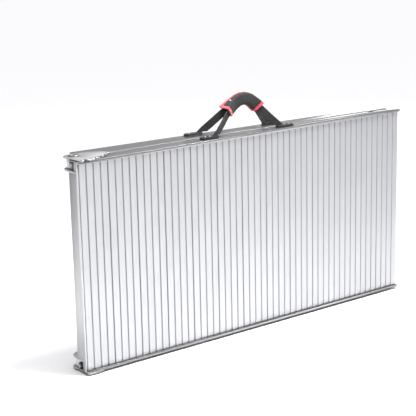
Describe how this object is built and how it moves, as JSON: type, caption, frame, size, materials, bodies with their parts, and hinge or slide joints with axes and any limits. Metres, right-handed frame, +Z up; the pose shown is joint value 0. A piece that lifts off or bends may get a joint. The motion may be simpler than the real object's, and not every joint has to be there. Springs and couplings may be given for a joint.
{
  "type": "portable folding wheelchair ramp",
  "caption": "Folding aluminium wheelchair ramp of ribbed planks between kerbed side rails, hinged in the middle, folded on its edge with webbing carrying straps and a padded grip.",
  "frame": {"origin": "middle of the underside of the folded ramp standing on one long edge", "axes": "+X along the ramp from the hinges to the tips, +Y from the front leaf to the rear leaf, +Z up"},
  "size_m": [1.304, 0.1456, 0.7673],
  "materials": {
    "deck_aluminium": "mill finish, extruded, light handling marks along the ribs",
    "frame_aluminium": "mill finish, brushed along the rails",
    "hinge_aluminium": "plate and turned stock, welded",
    "fastener_steel": "zinc plated",
    "webbing": "woven polypropylene webbing",
    "cap_plastic": "satin moulded",
    "grip_padding": "padded woven cloth",
    "binding_tape": "red woven binding tape"
  },
  "bodies": {
    "front_leaf": {"front_plank_01": "deck_aluminium", "front_plank_02": "deck_aluminium", "front_plank_03": "deck_aluminium", "front_plank_04": "deck_aluminium", "front_plank_05": "deck_aluminium", "front_plank_06": "deck_aluminium", "front_plank_07": "deck_aluminium", "front_plank_08": "deck_aluminium", "front_plank_09": "deck_aluminium", "front_plank_10": "deck_aluminium", "front_plank_11": "deck_aluminium", "front_plank_12": "deck_aluminium", "front_plank_13": "deck_aluminium", "front_upper_rail": "frame_aluminium", "front_lower_rail": "frame_aluminium", "front_hinge_end_bar": "frame_aluminium", "upper_outer_lug": "hinge_aluminium", "upper_inner_lug": "hinge_aluminium", "upper_hinge_pin": "fastener_steel", "upper_retaining_ring": "fastener_steel", "lower_outer_lug": "hinge_aluminium", "lower_inner_lug": "hinge_aluminium", "lower_hinge_pin": "fastener_steel", "lower_retaining_ring": "fastener_steel", "front_left_strap_cap": "cap_plastic", "front_left_cap_screw_1": "fastener_steel", "front_left_cap_screw_2": "fastener_steel", "front_right_strap_cap": "cap_plastic", "front_right_cap_screw_1": "fastener_steel", "front_right_cap_screw_2": "fastener_steel"},
    "rear_leaf": {"rear_plank_01": "deck_aluminium", "rear_plank_02": "deck_aluminium", "rear_plank_03": "deck_aluminium", "rear_plank_04": "deck_aluminium", "rear_plank_05": "deck_aluminium", "rear_plank_06": "deck_aluminium", "rear_plank_07": "deck_aluminium", "rear_plank_08": "deck_aluminium", "rear_plank_09": "deck_aluminium", "rear_plank_10": "deck_aluminium", "rear_plank_11": "deck_aluminium", "rear_plank_12": "deck_aluminium", "rear_tip_nose": "frame_aluminium", "rear_upper_rail": "frame_aluminium", "rear_lower_rail": "frame_aluminium", "rear_hinge_end_bar": "frame_aluminium", "upper_knuckle": "hinge_aluminium", "lower_knuckle": "hinge_aluminium", "rear_left_strap_cap": "cap_plastic", "rear_left_cap_screw_1": "fastener_steel", "rear_left_cap_screw_2": "fastener_steel", "rear_right_strap_cap": "cap_plastic", "rear_right_cap_screw_1": "fastener_steel", "rear_right_cap_screw_2": "fastener_steel"},
    "front_handle": {"front_strap": "webbing", "grip_wrap": "grip_padding", "grip_left_binding": "binding_tape", "grip_right_binding": "binding_tape"},
    "rear_handle": {"rear_strap": "webbing"}
  },
  "joints": [
    {"name": "leaf_fold", "type": "hinge", "parent": "front_leaf", "child": "rear_leaf", "pos_m": [-0.62303, 0.00075, 0.3273], "axis": [0, 0, 1], "range_deg": [0, 182.8]},
    {"name": "front_handle_tilt", "type": "hinge", "parent": "front_leaf", "child": "front_handle", "pos_m": [-0.00703, -0.04675, 0.6544], "axis": [1, 0, 0], "range_deg": [0, 90]},
    {"name": "rear_handle_tilt", "type": "hinge", "parent": "rear_leaf", "child": "rear_handle", "pos_m": [-0.00703, 0.03279, 0.6544], "axis": [-0.9988, 0.0488, 0], "range_deg": [0, 90]}
  ]
}
